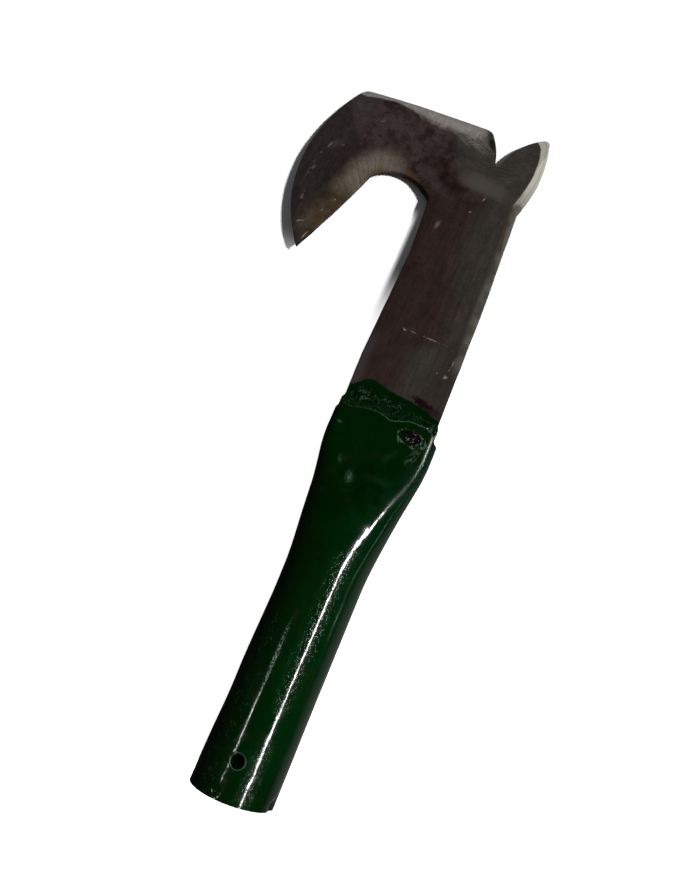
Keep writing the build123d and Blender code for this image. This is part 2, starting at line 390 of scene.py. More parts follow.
# Painted light: the throat's side wall in a lighter rust brown than its shade would show
painted_light_throat_wall = steel.rise(abs(steel.z), 2.3, 1.9) * in_throat
steel_colour = steel.layers(steel_colour, (
    (0.65 * crown_rust, shade(50, 36, 24)),
    (0.9 * throat_rust, steel.mix(patchy, shade(32, 18, 12), shade(72, 44, 14))),
    (0.8 * tip_rust, shade(62, 42, 14)),
    (0.4 * edge_rust, shade(50, 36, 22)),
    (0.7 * painted_light_throat_wall, shade(72, 50, 30)),
))

# Rubbed brighter: above the neck at the spur's root, and in the grinder's swirl beside the notch
shaken = steel.ragged(2.4, 7.0)
SWIRL_MIDDLE = (-2.0, 330.0)
swirl_x = steel.x - SWIRL_MIDDLE[0]
swirl_y = steel.y - SWIRL_MIDDLE[1]
swirl_radius = (swirl_x * swirl_x + swirl_y * swirl_y) ** 0.5 + 2.2 * (patchy - 0.5)
swirl_place = steel.node("ShaderNodeCombineXYZ", values={"X": 1.2 * swirl_radius, "Y": 0.14 * steel.x})
swirl_lines = steel.noise(1.0, 2.0, swirl_place)
right_border = steel.x + 0.74 * (steel.y - 300) + 9 * (mottle - 0.5) + 4 * (patchy - 0.5)
right_head = steel.rise(right_border, -26, -15)
right_head = right_head * steel.rise(steel.y + 0.15 * steel.x + 2 * (patchy - 0.5), 280.2, 281.8)
shoulder_streaks = steel.noise(1.0, 3.0, steel.stretched((0.16, 2.2, 1.0), 0.39), 0.6)
right_colour = steel.mix(mottle, shade(36, 32, 29), shade(62, 58, 53))
right_lines = 0.9 * swirl_lines + 0.9 * shoulder_streaks
right_colour = steel.tint(right_colour, right_lines + 0.7 * grit + 0.6 * patchy - 0.5)
steel_colour = steel.mix(right_head, steel_colour, right_colour)
rubbed_root = steel.mark(-1.0, 286, 34, 13, -8, 0.7, shaken)
root_border = steel.rise(steel.y + 0.05 * steel.x + 1.6 * (patchy - 0.5), 278.4, 279.8)
steel_colour = steel.mix(0.85 * rubbed_root * root_border, steel_colour, shade(70, 65, 61))
rubbed_shoulder = steel.mark(-16, 309.5, 34, 15, -24, 0.9, shaken)
shoulder_colour = steel.tint(shade(108, 104, 96), 0.5 * swirl_lines + 0.9 * shoulder_streaks + 0.6 * grit)
shoulder_share = 0.9 * rubbed_shoulder * steel.rise(shoulder_streaks + 0.4 * (grit - 0.5), 0.30, 0.62)
steel_colour = steel.mix(shoulder_share, steel_colour, shoulder_colour)
dark_chip = steel.mark(-5.0, 309.2, 8.5, 3.8, -60, 0.4, steel.ragged(0.8, 3.0))
steel_colour = steel.mix(0.9 * dark_chip, steel_colour, shade(26, 18, 14))

# The ground top edge, the spur's ground edge and the scuffed spine, each with painted highlight where it
# faces the key light
top_line = 316.5 + 0.028 * (steel.x + 71.6)
from_top = top_line - steel.y + 1.3 * (steel.noise(6, 3.0) - 0.5)
top_width = 2.6 + 1.9 * steel.rise(steel.x, -60, -74) + 4.6 * steel.rise(steel.x, -58, -30)
top_fade = 0.5 + 2.2 * steel.rise(steel.x, -58, -34)
top_ragged = (from_top - top_width + 5 * (patchy - 0.5) * steel.rise(steel.x, -58, -40)) / top_fade
on_top_edge = steel.rise(top_ragged, 1.0, -1.0) * steel.rise(steel.x, -8, -12)
top_lines = steel.noise(1.0, 2.0, steel.stretched((1.4, 0.25, 1.0), 0.35))
# Bare ground steel, painted lighter as a highlight where the top edge faces the key light
top_edge_and_highlight = steel.tint(shade(152, 146, 140), 0.32 + 0.85 * top_lines + 0.58 * grit)
steel_colour = steel.mix(0.92 * on_top_edge, steel_colour, top_edge_and_highlight)
from_spur = steel.node("ShaderNodeAttribute", {"attribute_name": "from_spur_edge"}, output="Fac")
ragged_spur = from_spur + 0.7 * (steel.noise(4, 2.0) - 0.5)
on_spur_edge = steel.rise(ragged_spur, 4.1, 3.5) * steel.rise(steel.y, 279, 283)
spur_line = steel.rise(abs(from_spur - 1.5 + 0.3 * patchy), 0.30, 0.10)
# Painted highlight: near white, as the spur's ground facet catches the key light, over bare ground steel
spur_edge_and_glint = steel.mix(steel.rise(steel.y, 302, 284), shade(192, 188, 177), shade(164, 159, 148))
spur_edge_and_glint = steel.tint(spur_edge_and_glint, 0.80 + 0.36 * grit - 0.30 * spur_line)
steel_colour = steel.mix(on_spur_edge, steel_colour, spur_edge_and_glint)
spine_line = 20.9 - 0.0215 * (steel.y - 184)
from_spine = spine_line - steel.x
below_spur = steel.rise(steel.y, 284, 280) * steel.rise(steel.y, 186, 200)
scuffed = steel.rise(from_spine + 2.6 * (patchy - 0.5) + 1.4 * (grit - 0.5), 4.4, 1.6) * below_spur
scuff_breaks = 0.35 + 0.65 * steel.rise(steel.noise(10, 3.0), 0.34, 0.56)
# Bare scuffed steel, painted lighter as a highlight where the spine's edge faces the key light
spine_scuff_and_highlight = steel.tint(shade(102, 96, 88), 0.55 + 0.8 * grit)
steel_colour = steel.mix(0.8 * scuffed * scuff_breaks, steel_colour, spine_scuff_and_highlight)
high_scuff = steel.rise(from_spine + 1.2 * (patchy - 0.5), 2.0, 1.2)
high_scuff = high_scuff * steel.rise(steel.y, 238, 262) * steel.rise(steel.y, 284, 280)
steel_colour = steel.mix(0.7 * high_scuff, steel_colour, spine_scuff_and_highlight)
from_burr = abs(from_spine - 3.2 - 0.10 * (steel.y - 268))
burr = steel.rise(from_burr, 0.7, 0.2) * steel.rise(abs(steel.y - 268), 15, 11)
steel_colour = steel.mix(0.75 * burr, steel_colour, shade(66, 50, 32))

# Bare scratches and nicks, softer scuffs and a painted sheen down the hook's back. Each row is a mark: its
# middle across and along, its length and width, its turn, and how much of it fades
BROKEN_SCRATCHES = (
    (1.5, 202.0, 27, 0.6, -2, 0.6),
    (-9.0, 202.0, 3.0, 1.5, -35, 0.7),
    (16.4, 192, 15, 1.5, 80, 0.7),
)
NICKS = (
    (16.2, 187.4, 2.6, 1.4, 20, 0.7),
    (1.5, 278.8, 3.8, 0.7, 62, 0.6),
    (-2.4, 269.8, 2.0, 0.9, 50, 0.7),
    (-74.8, 234.9, 5.5, 0.8, 30, 0.6),
    (-70.2, 229.5, 7.5, 0.8, 72, 0.6),
    (-67.8, 244.8, 1.6, 0.9, 90, 0.7),
)
BARE_DOTS = (
    (11.9, 188.0, 1.1, 0.9, 0, 0.7),
    (-64.2, 252.2, 1.8, 0.7, 90, 0.7),
)
BROKEN_SCUFFS = (
    (-79, 247, 16, 2.4, 98, 0.9),
    (-72, 281, 10, 1.4, 50, 0.9),
)
BACK_NICKS = (
    (-78, 279, 6.5, 1.1, 68, 0.8),
    (-80.5, 273.1, 2.4, 1.2, 20, 0.8),
)
thin = steel.ragged(0.5, 1.6)
broken = steel.rise(steel.noise(1.6, 3.0), 0.42, 0.58)
scratches = steel.marks(BROKEN_SCRATCHES, thin) * broken + steel.marks(NICKS, thin) + steel.marks(BARE_DOTS)
neck_scuff = steel.mark(-13.9, 257.4, 9, 3.5, 82, 0.9, shaken) * steel.rise(along_neck, 0.38, 0.56)
back_scuffs = steel.mark(-81.5, 265, 24, 3.0, 86, 0.9, shaken) + steel.marks(BROKEN_SCUFFS, thin)
back_scuffs = back_scuffs * broken + steel.marks(BACK_NICKS, thin)
scale_flecks = steel.rise(steel.noise(1.3, 3.0, roughness=0.6), 0.60, 0.70) * steel.rise(steel.y, 262, 284)
# Painted sheen: a lighter band on the hook's back that stands in for light reflected there
painted_sheen = steel.mark(-76, 280, 22, 7, 60, 1.0, shaken)
blotch = steel.mark(-57.5, 301, 14, 9, 40, 0.9, shaken) * steel.rise(steel.noise(2.0, 4.0), 0.48, 0.62)
scuffs_and_sheen = 1.2 * neck_scuff + back_scuffs + 0.9 * blotch + 0.5 * painted_sheen + 0.5 * scale_flecks

# A maroon stain above the enamel, and the paler lower corner
stain_place = steel.ragged(1.9, 1.9)
stain = steel.mark(13.4, 171.2, 20, 5.4, -16, 0.5, stain_place)
stain_core = steel.mark(11.2, 172.2, 13, 3.8, -16, 0.5, stain_place)
pale_corner = steel.rise(steel.x + 1.5 * (patchy - 0.5), -16.5, -20.5)
pale_corner = pale_corner * steel.rise(steel.y + 6 * drift, 202, 188)
steel_colour = steel.layers(steel_colour, (
    # The scuffs and the painted sheen, in one paler colour
    (steel.rise(0.5 * scuffs_and_sheen, 0, 1), shade(100, 92, 90)),
    (steel.rise(0.7 * scratches, 0, 1), shade(128, 118, 114)),
    (0.9 * stain, shade(32, 15, 18)),
    (stain_core, shade(14, 0, 6)),
    (0.5 * pale_corner, shade(62, 57, 58)),
))

# The enamel on the neck: smooth at its border, and lumpy towards the weld, with pale specks as painted
# glints on the lumps and dark pits as painted shade
enamel_tone = steel.noise(7, 3.0)
near_weld = steel.rise(steel.y - border_height + 4 * (patchy - 0.5), -2.0, -7.0)
weld_lumps = steel.noise(1.8, 3.0)
weld_lumps_and_glints = steel.rise(0.5 * steel.noise(0.5, 2.0) + 0.5 * weld_lumps, 0.53, 0.62)
shaded_weld_pits = steel.rise(weld_lumps, 0.48, 0.38) * near_weld
enamel_on_steel = steel.layers(shade(0, 16, 0), (
    (enamel_tone, shade(1, 26, 3)),
    # Painted shade in the pits, and painted glints on the lumps
    (0.7 * shaded_weld_pits, shade(3, 10, 4)),
    (0.55 * weld_lumps_and_glints * near_weld, shade(60, 84, 64)),
))
enamel_lumps = (0.16 * steel.noise(0.8, 2.0) + 0.10 * weld_lumps_and_glints) * near_weld
enamel_lumps = enamel_lumps + 0.06 * steel.noise(2.4, 3.0)
scale_pits = 0.025 * steel.noise(1.3, 4.0) + 0.015 * along_neck + 0.012 * fine_lines
groove = 0.02 * grinder_lines * ground
height = under_enamel * (0.12 + enamel_lumps) + (1 - under_enamel) * (scale_pits - groove)
bright = steel.rise(on_spur_edge + on_top_edge + 0.5 * ground + 0.5 * scuffed, 0, 1)
blade_material = steel.shader(
    steel.mix(under_enamel, steel_colour, enamel_on_steel),
    under_enamel * 0.20 + (1 - under_enamel) * (0.50 - 0.10 * bright + 0.14 * (mottle - 0.5)),
    steel.bump(height),
    (1 - under_enamel) * (0.12 + 0.28 * bright),
    {"Specular IOR Level": 0.14},
)

blade_piece = piece_from(blade_form, "forged_blade", blade_material)
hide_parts("blade")
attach(blade_piece, "root")

# Pipe handle
# A length of 1-inch steel pipe, hammered flat over the blade's tang at one end and left open at the
# other, with a drilled cross hole. It is brushed all over with thick gloss enamel, and bare inside.

PIPE_OUTSIDE = 33.7
PIPE_RADIUS = PIPE_OUTSIDE / 2
PIPE_WALL = 2.6
ROUND_LENGTH = 44.0
FLAT_START = 148.0
PALM_SPREAD = 0.3
FOLD_RADIUS = 5.12
HOLE_X = -1.4
HOLE_Y = 14.5
HOLE_RADIUS = 2.75
PLUG_X = 12.9
PLUG_Y = 155.5
PLUG_LENGTH = 7.0
PLUG_WIDTH = 5.6
PLUG_TURN = -12.0
GIRTH_STEPS = 168
HANDLE_LENGTH = 161.0
RING_GAP = 1.05
FINE_RING_GAP = 0.65           # near the cross hole and along the palm
FINE_UP_TO = 24.0
STRETCH_FROM = 142.0           # past here the rings lean to follow the uneven cut end
END_SLANT = 0.9                # the open end was sawn this much out of square at each side
SLANT_REACH = 10.0
PINCH_DEPTH = 0.45             # a shallow pinch on the hook's side
PINCH_PLACE = 34.0
PINCH_REACH = 14.0
LIP_WIDTH = 0.22               # of the torn lip round the plug weld, in shares of the hole

# How far the pipe is pressed flat, and how far it leans to the spine, at even steps along its taper
STAGES = (
    (0, 0), (-0.04, 0.1), (-0.09, 0.2), (-0.12, 0.3), (-0.12, 0.35), (-0.04, 0.3), (0.14, 0.2),
    (0.32, 0.1), (0.47, 0.1), (0.59, 0.2), (0.70, 0.35), (0.83, 0.35), (0.95, 0.2), (1.0, 0.15),
)
# The cut end in plan, from the hook's side to the spine's, with a small tear between its two lobes
CUT_END = (
    (-24.4, 155.8), (-22.8, 157.7), (-20.6, 159.2), (-17.0, 158.8), (-13.0, 159.8), (-9.0, 160.6),
    (-4.3, 160.7), (-1.5, 160.0), (0.8, 159.2), (2.8, 159.5), (5.2, 160.5), (9.8, 162.0), (15.9, 161.9),
    (18.8, 161.1), (20.9, 159.2), (22.5, 156.8), (24.4, 155.9),
)

# Hollows in the front, each with its middle, radius and depth
DENTS = (
    (-1.6, 127.0, 6.0, 1.7),
    (-4.4, 133.5, 4.0, 0.75),
    (-9.2, 134.8, 4.2, 1.0),
    (-17.0, 150.5, 3.2, 0.6),
    (-12.0, 119.5, 2.6, 0.40),
    (7.5, 141.0, 6.0, 0.35),
    (-4.6, 2.6, 2.0, 0.42),        # beside the cross hole, at the open end
    (2.0, 115.5, 10.0, -0.5),      # a swelling, where the palm begins
)

# A nick in the rim of the open end
NICK = (16.2, 2.6, 4.6)
NICK_DEPTH = 1.5
NICK_RADIUS = 2.2


def smooth_between(table, place):
    """Follows evenly spaced rows of numbers smoothly, at a place counted in rows."""
    place = min(max(place, 0), len(table) - 1)
    row = min(int(place), len(table) - 2)
    t = place - row
    before, start, end, after = (table[min(max(row + n, 0), len(table) - 1)] for n in (-1, 0, 1, 2))
    return [
        b + 0.5 * t * (c - a + t * (2 * a - 5 * b + 4 * c - d + t * (3 * (b - c) + d - a)))
        for a, b, c, d in zip(before, start, end, after)
    ]


def cut_end(x):
    """Where the pipe's wall ends at this place across the palm."""
    if x <= CUT_END[0][0]:
        return CUT_END[0][1]
    for (x0, y0), (x1, y1) in zip(CUT_END, CUT_END[1:]):
        if x <= x1:
            t = (x - x0) / (x1 - x0)
            return y0 + (y1 - y0) * t * t * (3 - 2 * t)
    return CUT_END[-1][1]


def pressed(angle, y):
    """The place on the pressed pipe of a point that stood at this angle on the round one."""
    stage_length = (FLAT_START - ROUND_LENGTH) / (len(STAGES) - 1)
    flattening, lean = smooth_between(STAGES, (y - ROUND_LENGTH) / stage_length)
    turn = math.radians(45 + 43.5 * flattening)
    crush = math.copysign(abs(flattening) ** 1.6, flattening)
    side = PIPE_RADIUS + (FOLD_RADIUS - PIPE_RADIUS) * crush
    quarter = math.pi * (PIPE_OUTSIDE - PIPE_WALL) / 4 + PALM_SPREAD * flattening**4
    half_wall = PIPE_WALL / 2
    face = half_wall + (quarter - (side - half_wall) * turn) / (math.pi / 2 - turn)
    across = abs(math.cos(angle))
    up = abs(math.sin(angle))
    run = quarter * math.atan2(up, across) / (math.pi / 2)
    side_run = (side - half_wall) * turn
    if run < side_run:
        bend = run / (side - half_wall)
        x = (face - side) * math.cos(turn) + side * math.cos(bend)
        z = side * math.sin(bend)
    else:
        bend = turn + (run - side_run) / (face - half_wall)
        x = face * math.cos(bend)
        z = face * math.sin(bend) - (face - side) * math.sin(turn)
    return Vector((lean + math.copysign(x, math.cos(angle)), y, math.copysign(z, math.sin(angle))))


def hollow(point, x, y, radius, depth):
    """How far a dent on the front, with its middle at x and y, has pushed this point in."""
    far = math.hypot(point.x - x, point.y - y) / radius
    return depth * math.exp(-2.2 * far * far) if point.z > 0 else 0.0


handle_form = bmesh.new()
bmesh.ops.create_circle(handle_form, segments=GIRTH_STEPS, radius=PIPE_RADIUS, cap_ends=False)
bmesh.ops.rotate(handle_form, verts=handle_form.verts, matrix=Matrix.Rotation(math.pi / 2, 3, "X"))
rim = list(handle_form.edges)
y = 0.0
while y < HANDLE_LENGTH - 0.01:
    step = FINE_RING_GAP if y < FINE_UP_TO or y > FLAT_START else RING_GAP
    step = min(step, HANDLE_LENGTH - y)
    grown = bmesh.ops.extrude_edge_only(handle_form, edges=rim)["geom"]
    new_rim = [vertex for vertex in grown if isinstance(vertex, bmesh.types.BMVert)]
    bmesh.ops.translate(handle_form, verts=new_rim, vec=(0, step, 0))
    rim = [edge for edge in grown if isinstance(edge, bmesh.types.BMEdge)]
    y += step

from_mouth = handle_form.verts.layers.float.new("from_mouth")
for vertex in handle_form.verts:
    point = pressed(math.atan2(vertex.co.z, vertex.co.x), vertex.co.y)
    late = max(point.y - STRETCH_FROM, 0) / (HANDLE_LENGTH - STRETCH_FROM)
    point.y += late * late * (cut_end(point.x) - HANDLE_LENGTH)
    vertex[from_mouth] = cut_end(point.x) - point.y
    near_end = max(1 - point.y / SLANT_REACH, 0)
    point.y -= near_end * (END_SLANT * -point.x / PIPE_RADIUS)
    outward = Vector((point.x, 0, point.z)).normalized()
    dent = sum(hollow(point, *row) for row in DENTS)
    waves = noise.noise(Vector((point.x, 0.35 * point.y, point.z)) * 0.16) * 0.04
    waves += noise.noise(point * 0.45) * 0.014
    side_pinch = PINCH_DEPTH * math.exp(-((point.y - PINCH_PLACE) / PINCH_REACH) ** 2)
    side_pinch *= max(-point.x / PIPE_RADIUS, 0) ** 3
    point.z -= dent
    nick = NICK_DEPTH * math.exp(-((point - Vector(NICK)).length / NICK_RADIUS) ** 2)
    vertex.co = point + outward * (waves - side_pinch - nick)


def open_hole(form, x, y, radius, half_length=1.0, turn=0.0, front_only=False):
    """Takes out the faces inside a round or oval hole, and pulls the rim onto its outline."""
    across = Vector((math.cos(turn), math.sin(turn)))
    along = Vector((-math.sin(turn), math.cos(turn)))

    def local(point):
        offset = Vector((point.x - x, point.y - y))
        return offset.dot(across) / (radius * half_length), offset.dot(along) / radius

    for front in (True,) if front_only else (True, False):
        inside = []
        for face in form.faces:
            middle = face.calc_center_median()
            beside = (middle.z > 0) == front and abs(middle.x - x) < 2 * radius
            if beside and math.hypot(*local(middle)) < 1:
                inside.append(face)
        touched = {vertex for face in inside for vertex in face.verts}
        rim_vertices = [v for v in touched if any(face not in inside for face in v.link_faces)]
        bmesh.ops.delete(form, geom=inside, context="FACES")
        for vertex in rim_vertices:
            a, b = local(vertex.co)
            far = math.hypot(a, b)
            spot = Vector((x, y)) + across * (a / far * radius * half_length) + along * (b / far * radius)
            vertex.co.x = spot.x
            vertex.co.y = spot.y


open_hole(handle_form, HOLE_X, HOLE_Y, HOLE_RADIUS)
plug_turn = math.radians(PLUG_TURN)
open_hole(handle_form, PLUG_X, PLUG_Y, PLUG_WIDTH / 2, PLUG_LENGTH / PLUG_WIDTH, plug_turn, front_only=True)
loose = [vertex for vertex in handle_form.verts if not vertex.link_faces]
bmesh.ops.delete(handle_form, geom=loose, context="VERTS")
bmesh.ops.recalc_face_normals(handle_form, faces=handle_form.faces)

# The torn lip that stands up round the plug weld
for vertex in handle_form.verts:
    if vertex.co.z > 3 and vertex.co.y > FLAT_START:
        offset = Vector((vertex.co.x - PLUG_X, vertex.co.y - PLUG_Y))
        offset.rotate(Matrix.Rotation(-plug_turn, 2))
        far = math.hypot(offset.x / (PLUG_LENGTH / 2), offset.y / (PLUG_WIDTH / 2))
        ragged_lip = 0.38 + 0.5 * noise.noise(vertex.co * 0.55)
        vertex.co.z += max(ragged_lip, 0.1) * math.exp(-(((far - 1.0) / LIP_WIDTH) ** 2))

enamel = Finish("green_enamel")

# The green itself: bluer in patches on the palm, yellower where the coat is thin, darker where it is thick
slow = enamel.noise(16, 3.0)
coarse = enamel.noise(5, 4.0, roughness=0.6)
brush = enamel.noise(1.0, 2.0, enamel.stretched((0.9, 0.05, 0.9)))
on_palm = enamel.rise(enamel.y, 96, 124)
# Painted light: the round pipe is lighter green towards the spine's side, where the key light falls
painted_lit_side = enamel.rise(enamel.x + 10 * (slow - 0.5), -4, 9)
round_colour = enamel.mix(painted_lit_side, shade(0, 27, 1), shade(0, 31, 6))
round_colour = enamel.mix(0.6 * enamel.rise(enamel.y, 24, 4), round_colour, shade(0, 22, 1))
teal_patches = 0.5 * slow + 0.5 * coarse + 0.010 * (enamel.x - 6) - 0.006 * (enamel.y - 140)
teal_side = enamel.rise(teal_patches, 0.50, 0.66)
palm_colour = enamel.mix(teal_side, enamel.mix(coarse, shade(0, 20, 0), shade(0, 28, 1)), shade(0, 30, 9))
thin_coat = enamel.rise(coarse, 0.52, 0.70)
thick_coat = enamel.rise(enamel.noise(6, 3.0), 0.44, 0.30)
enamel_colour = enamel.layers(round_colour, (
    (on_palm, palm_colour),
    (0.55 * thin_coat, shade(14, 24, 1)),
    (0.35 * thick_coat, shade(0, 14, 2)),
))

# Where the coat is scuffed it turns pale: the open rim and round the plug weld. Pale is also painted
# highlight:
# along the cut edge at the mouth, round the cross hole and in the dents, and a painted haze of reflected
# light below the plug weld
# Painted highlights in the dents, each with its share and its mark
DENT_HIGHLIGHTS = (
    (1.0, (-5.6, 128.8, 11, 6.4, 100, 1.0)),
    (0.8, (-12.2, 135.0, 8, 3.8, 110, 1.0)),
    (0.8, (-19, 150.6, 4.5, 3, 0, 1.0)),
    (0.5, (-14, 119.8, 5, 3, 90, 1.0)),
)

# Two paler streaks on the palm, painted sheen of reflected light
SHEEN_STREAKS = (
    (7.2, 144.7, 16, 4.0, 62, 1.0),
    (8.0, 131.9, 17, 4.0, 14, 1.0),
)

front = enamel.rise(enamel.z, 3.2, 4.2)
streaks = enamel.noise(1.1, 3.0)
mouth_line = enamel.node("ShaderNodeAttribute", {"attribute_name": "from_mouth"}, output="Fac")
cut_rim_highlight = enamel.rise(mouth_line, 0.75, 0.15) * front * (0.45 + 0.55 * enamel.rise(streaks, 0.38, 0.55))
cut_rim_highlight = cut_rim_highlight * (0.45 + 0.55 * enamel.rise(enamel.x, -14, 4))
open_rim = enamel.rise(enamel.y, 1.6, 0.2) * enamel.rise(enamel.x, 1, 9)
plug_place = enamel.node(
    "ShaderNodeMapping", {"vector_type": "TEXTURE"},
    {
        "Vector": enamel.ragged(1.1, 2.0), "Location": (PLUG_X - 0.4, PLUG_Y - 0.7, 0),
        "Rotation": (0, 0, math.radians(-8)), "Scale": (6.4, 3.4, 1e6),
    },
)
from_plug = enamel.node("ShaderNodeVectorMath", {"operation": "LENGTH"}, {0: plug_place}, "Value")
torn_strokes = enamel.noise(1.4, 3.0)
ring_width = 0.02 + 0.09 * enamel.rise(enamel.noise(2.4, 2.0), 0.40, 0.66)
torn_ring = enamel.rise(abs(from_plug - 1.0) - ring_width, 0.03, -0.03)
torn_ring = torn_ring * enamel.rise(torn_strokes, 0.38, 0.50)
torn_edge = 0.6 * enamel.rise(abs(from_plug - 0.86), 0.34, 0.10) * enamel.rise(torn_strokes, 0.60, 0.68)
outer_lip = enamel.mark(7.2, 152.6, 5.0, 1.2, 118, 0.6, enamel.ragged(0.6, 1.6))
torn_ring = (torn_ring + 0.8 * torn_edge + outer_lip) * front
haze_streaks = enamel.noise(1.0, 3.0, enamel.stretched((1.3, 0.35, 1.0), 0.35))
haze_patch = enamel.mark(15.6, 147.2, 17, 6.4, 66, 0.9, enamel.ragged(1.2, 3.0)) * front
haze_patch = haze_patch * enamel.rise(0.5 * haze_streaks + 0.5 * torn_strokes, 0.42, 0.56)
dent_highlights = sum(share * enamel.mark(*row) for share, row in DENT_HIGHLIGHTS)
sheen_streaks = enamel.marks(SHEEN_STREAKS, enamel.ragged(2.2, 5.0))
dent_highlights = enamel.rise(dent_highlights, 0, 1) * front * (0.4 + 0.6 * enamel.rise(streaks, 0.35, 0.6))
from_hole = ((enamel.x - HOLE_X) ** 2.0 + (enamel.y - HOLE_Y) ** 2.0) ** 0.5
hole_rim_highlight = enamel.rise(abs(from_hole - 2.9), 0.26, 0.06)
pale_wear_and_highlights = 0.7 * cut_rim_highlight + 0.35 * open_rim + 0.62 * torn_ring + 0.5 * haze_patch + 0.55 * dent_highlights
pale_wear_and_highlights = pale_wear_and_highlights + 0.6 * hole_rim_highlight * enamel.rise(enamel.y, 24, 22)
pale_wear_and_highlights = enamel.rise(pale_wear_and_highlights, 0, 1)
# Real wear and painted highlights, in one pale colour
enamel_colour = enamel.layers(enamel_colour, (
    # Painted sheen on the palm
    (0.20 * sheen_streaks * front, shade(16, 62, 30)),
    # Painted shade: the coat inside the torn lip round the plug weld is painted darker
    (0.7 * enamel.rise(from_plug, 1.0, 0.8) * front, shade(1, 13, 2)),
    (0.62 * pale_wear_and_highlights, shade(78, 104, 82)),
))

# Grit and dust under the coat, most of it along the pipe's middle, with painted glints as pale dashes and
# sparks down the hook's side, and a dark nick in the open rim
hole_ring = enamel.rise(from_hole, 3.6, 3.1)
specks = enamel.noise(0.55, 2.0)
orange_peel = enamel.noise(1.5, 2.0)
runs = enamel.noise(4.2, 2.0, enamel.stretched((1.0, 0.35, 1.0)))
dusty = enamel.rise(abs(enamel.y - 68 + 12 * (slow - 0.5)), 38, 25)
dusty = enamel.rise(dusty + enamel.rise(enamel.y, 30, 16) + 0.5 * enamel.rise(enamel.y, 120, 132), 0, 1)
left_dust = enamel.rise(enamel.x, -1, -5) * enamel.rise(abs(enamel.y - 62), 34, 18)
grit_in_paint = enamel.rise(enamel.noise(0.5, 2.0), 0.56, 0.68) * (0.10 + 0.90 * dusty + 0.6 * left_dust)
fine_grains = enamel.noise(0.45, 2.0)
dashes = enamel.noise(1.0, 2.0, enamel.stretched((1.6, 0.7, 1.6)))
left_glint_specks = enamel.rise(0.7 * dashes + 0.3 * enamel.noise(4.0, 2.0), 0.54, 0.68)
left_glint_specks = left_glint_specks * enamel.rise(enamel.x, -3, -9) * enamel.rise(enamel.y, 92, 50)
left_glint_sparks = enamel.mark(-3.7, 55, 38, 2.0, 90, 0.8) * enamel.rise(enamel.y, 76, 46)
left_glint_sparks = left_glint_sparks * enamel.rise(fine_grains, 0.50, 0.60) * enamel.rise(enamel.z, 4, 8)
end_nick = enamel.mark(16.0, 3.4, 4.2, 2.4, 60, 0.5, enamel.ragged(0.6, 1.5)) * enamel.rise(enamel.z, 1, 3)
enamel_colour = enamel.layers(enamel_colour, (
    # Painted glints down the hook's side
    (0.24 * left_glint_specks, shade(80, 92, 84)),
    (0.8 * left_glint_sparks, shade(150, 164, 156)),
    (0.95 * end_nick, shade(3, 6, 3)),
))
enamel_height = 0.014 * orange_peel + 0.05 * runs + 0.012 * brush + 0.004 * specks
enamel_height = enamel_height + 0.018 * grit_in_paint + 0.06 * hole_ring

# The gloss is duller in the dents, on the palm's shoulder and wherever the coat is scuffed
DULL_DENTS = (
    (-4.6, 128.5, 11, 7, 98, 0.9),
    (-10.5, 134.5, 8, 5, 80, 0.9),
    (-18.5, 150.5, 5, 4, 0, 0.9),
)
in_dent = enamel.rise(enamel.marks(DULL_DENTS), 0, 1) * front
palm_shoulder = enamel.rise(enamel.x, 10, 15) * enamel.rise(enamel.y, 114, 130)
enamel_roughness = 0.075 + 0.05 * enamel.rise(coarse, 0.4, 0.7) + 0.12 * palm_shoulder
enamel_roughness = enamel_roughness + 0.16 * in_dent + 0.25 * pale_wear_and_highlights + 0.5 * end_nick
enamel_material = enamel.shader(enamel_colour, enamel_roughness, enamel.bump(enamel_height))

bore = Finish("bare_bore")
bore_colour = bore.mix(bore.noise(8, 4.0), shade(58, 44, 36), shade(34, 30, 28))
bore_material = bore.shader(bore_colour, 0.65, bore.bump(0.06 * bore.noise(1.2, 4.0)), 0.3)

handle_piece = piece_from(handle_form, "pressed_pipe", enamel_material, bore_material, sharp=60.0)
wall = handle_piece.modifiers.new("wall", "SOLIDIFY")
wall.thickness = PIPE_WALL * MM
wall.offset = -1
wall.use_even_offset = True
wall.material_offset = 1
soft_rim = handle_piece.modifiers.new("soft_rim", "BEVEL")
soft_rim.width = 0.5 * MM
soft_rim.segments = 3
soft_rim.limit_method = "ANGLE"
soft_rim.angle_limit = math.radians(55)
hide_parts("pipe_handle")
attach(handle_piece, "root")

# Mouth welds
# Weld beads across the front and the back of the pipe's cut end, laid in short overlapping runs, with
# spatter on them. The enamel covers them thickly.

BEAD_CELL = 0.45
BEAD_SPANS = ((-22.5, 22.0), (156.0, 167.5), (-6.0, 6.0))
BLADE_FACE = 2.5
BEAD_FADE = 0.6                # the lumps fade out over this height above the blade's face
BEAD_LUMPS = 0.45
BEAD_SINK = 0.45               # the share of its height by which a bead sinks below the solid's

lumpy = Finish("lumpy_enamel")
lumpy_colour = lumpy.mix(lumpy.rise(lumpy.noise(1.6, 3.0), 0.36, 0.60), shade(1, 9, 2), shade(2, 30, 5))
spatter_and_glints = lumpy.rise(lumpy.noise(0.75, 2.0), 0.56, 0.68)
# The pale specks on the bead's spatter are painted glints; the same spatter raises its bump
lumpy_colour = lumpy.mix(0.4 * spatter_and_glints, lumpy_colour, shade(44, 70, 48))
lumpy_height = 0.10 * lumpy.noise(0.8, 3.0) + 0.14 * spatter_and_glints
lumpy_material = lumpy.shader(lumpy_colour, 0.13 + 0.08 * lumpy.noise(2.0, 2.0), lumpy.bump(lumpy_height))

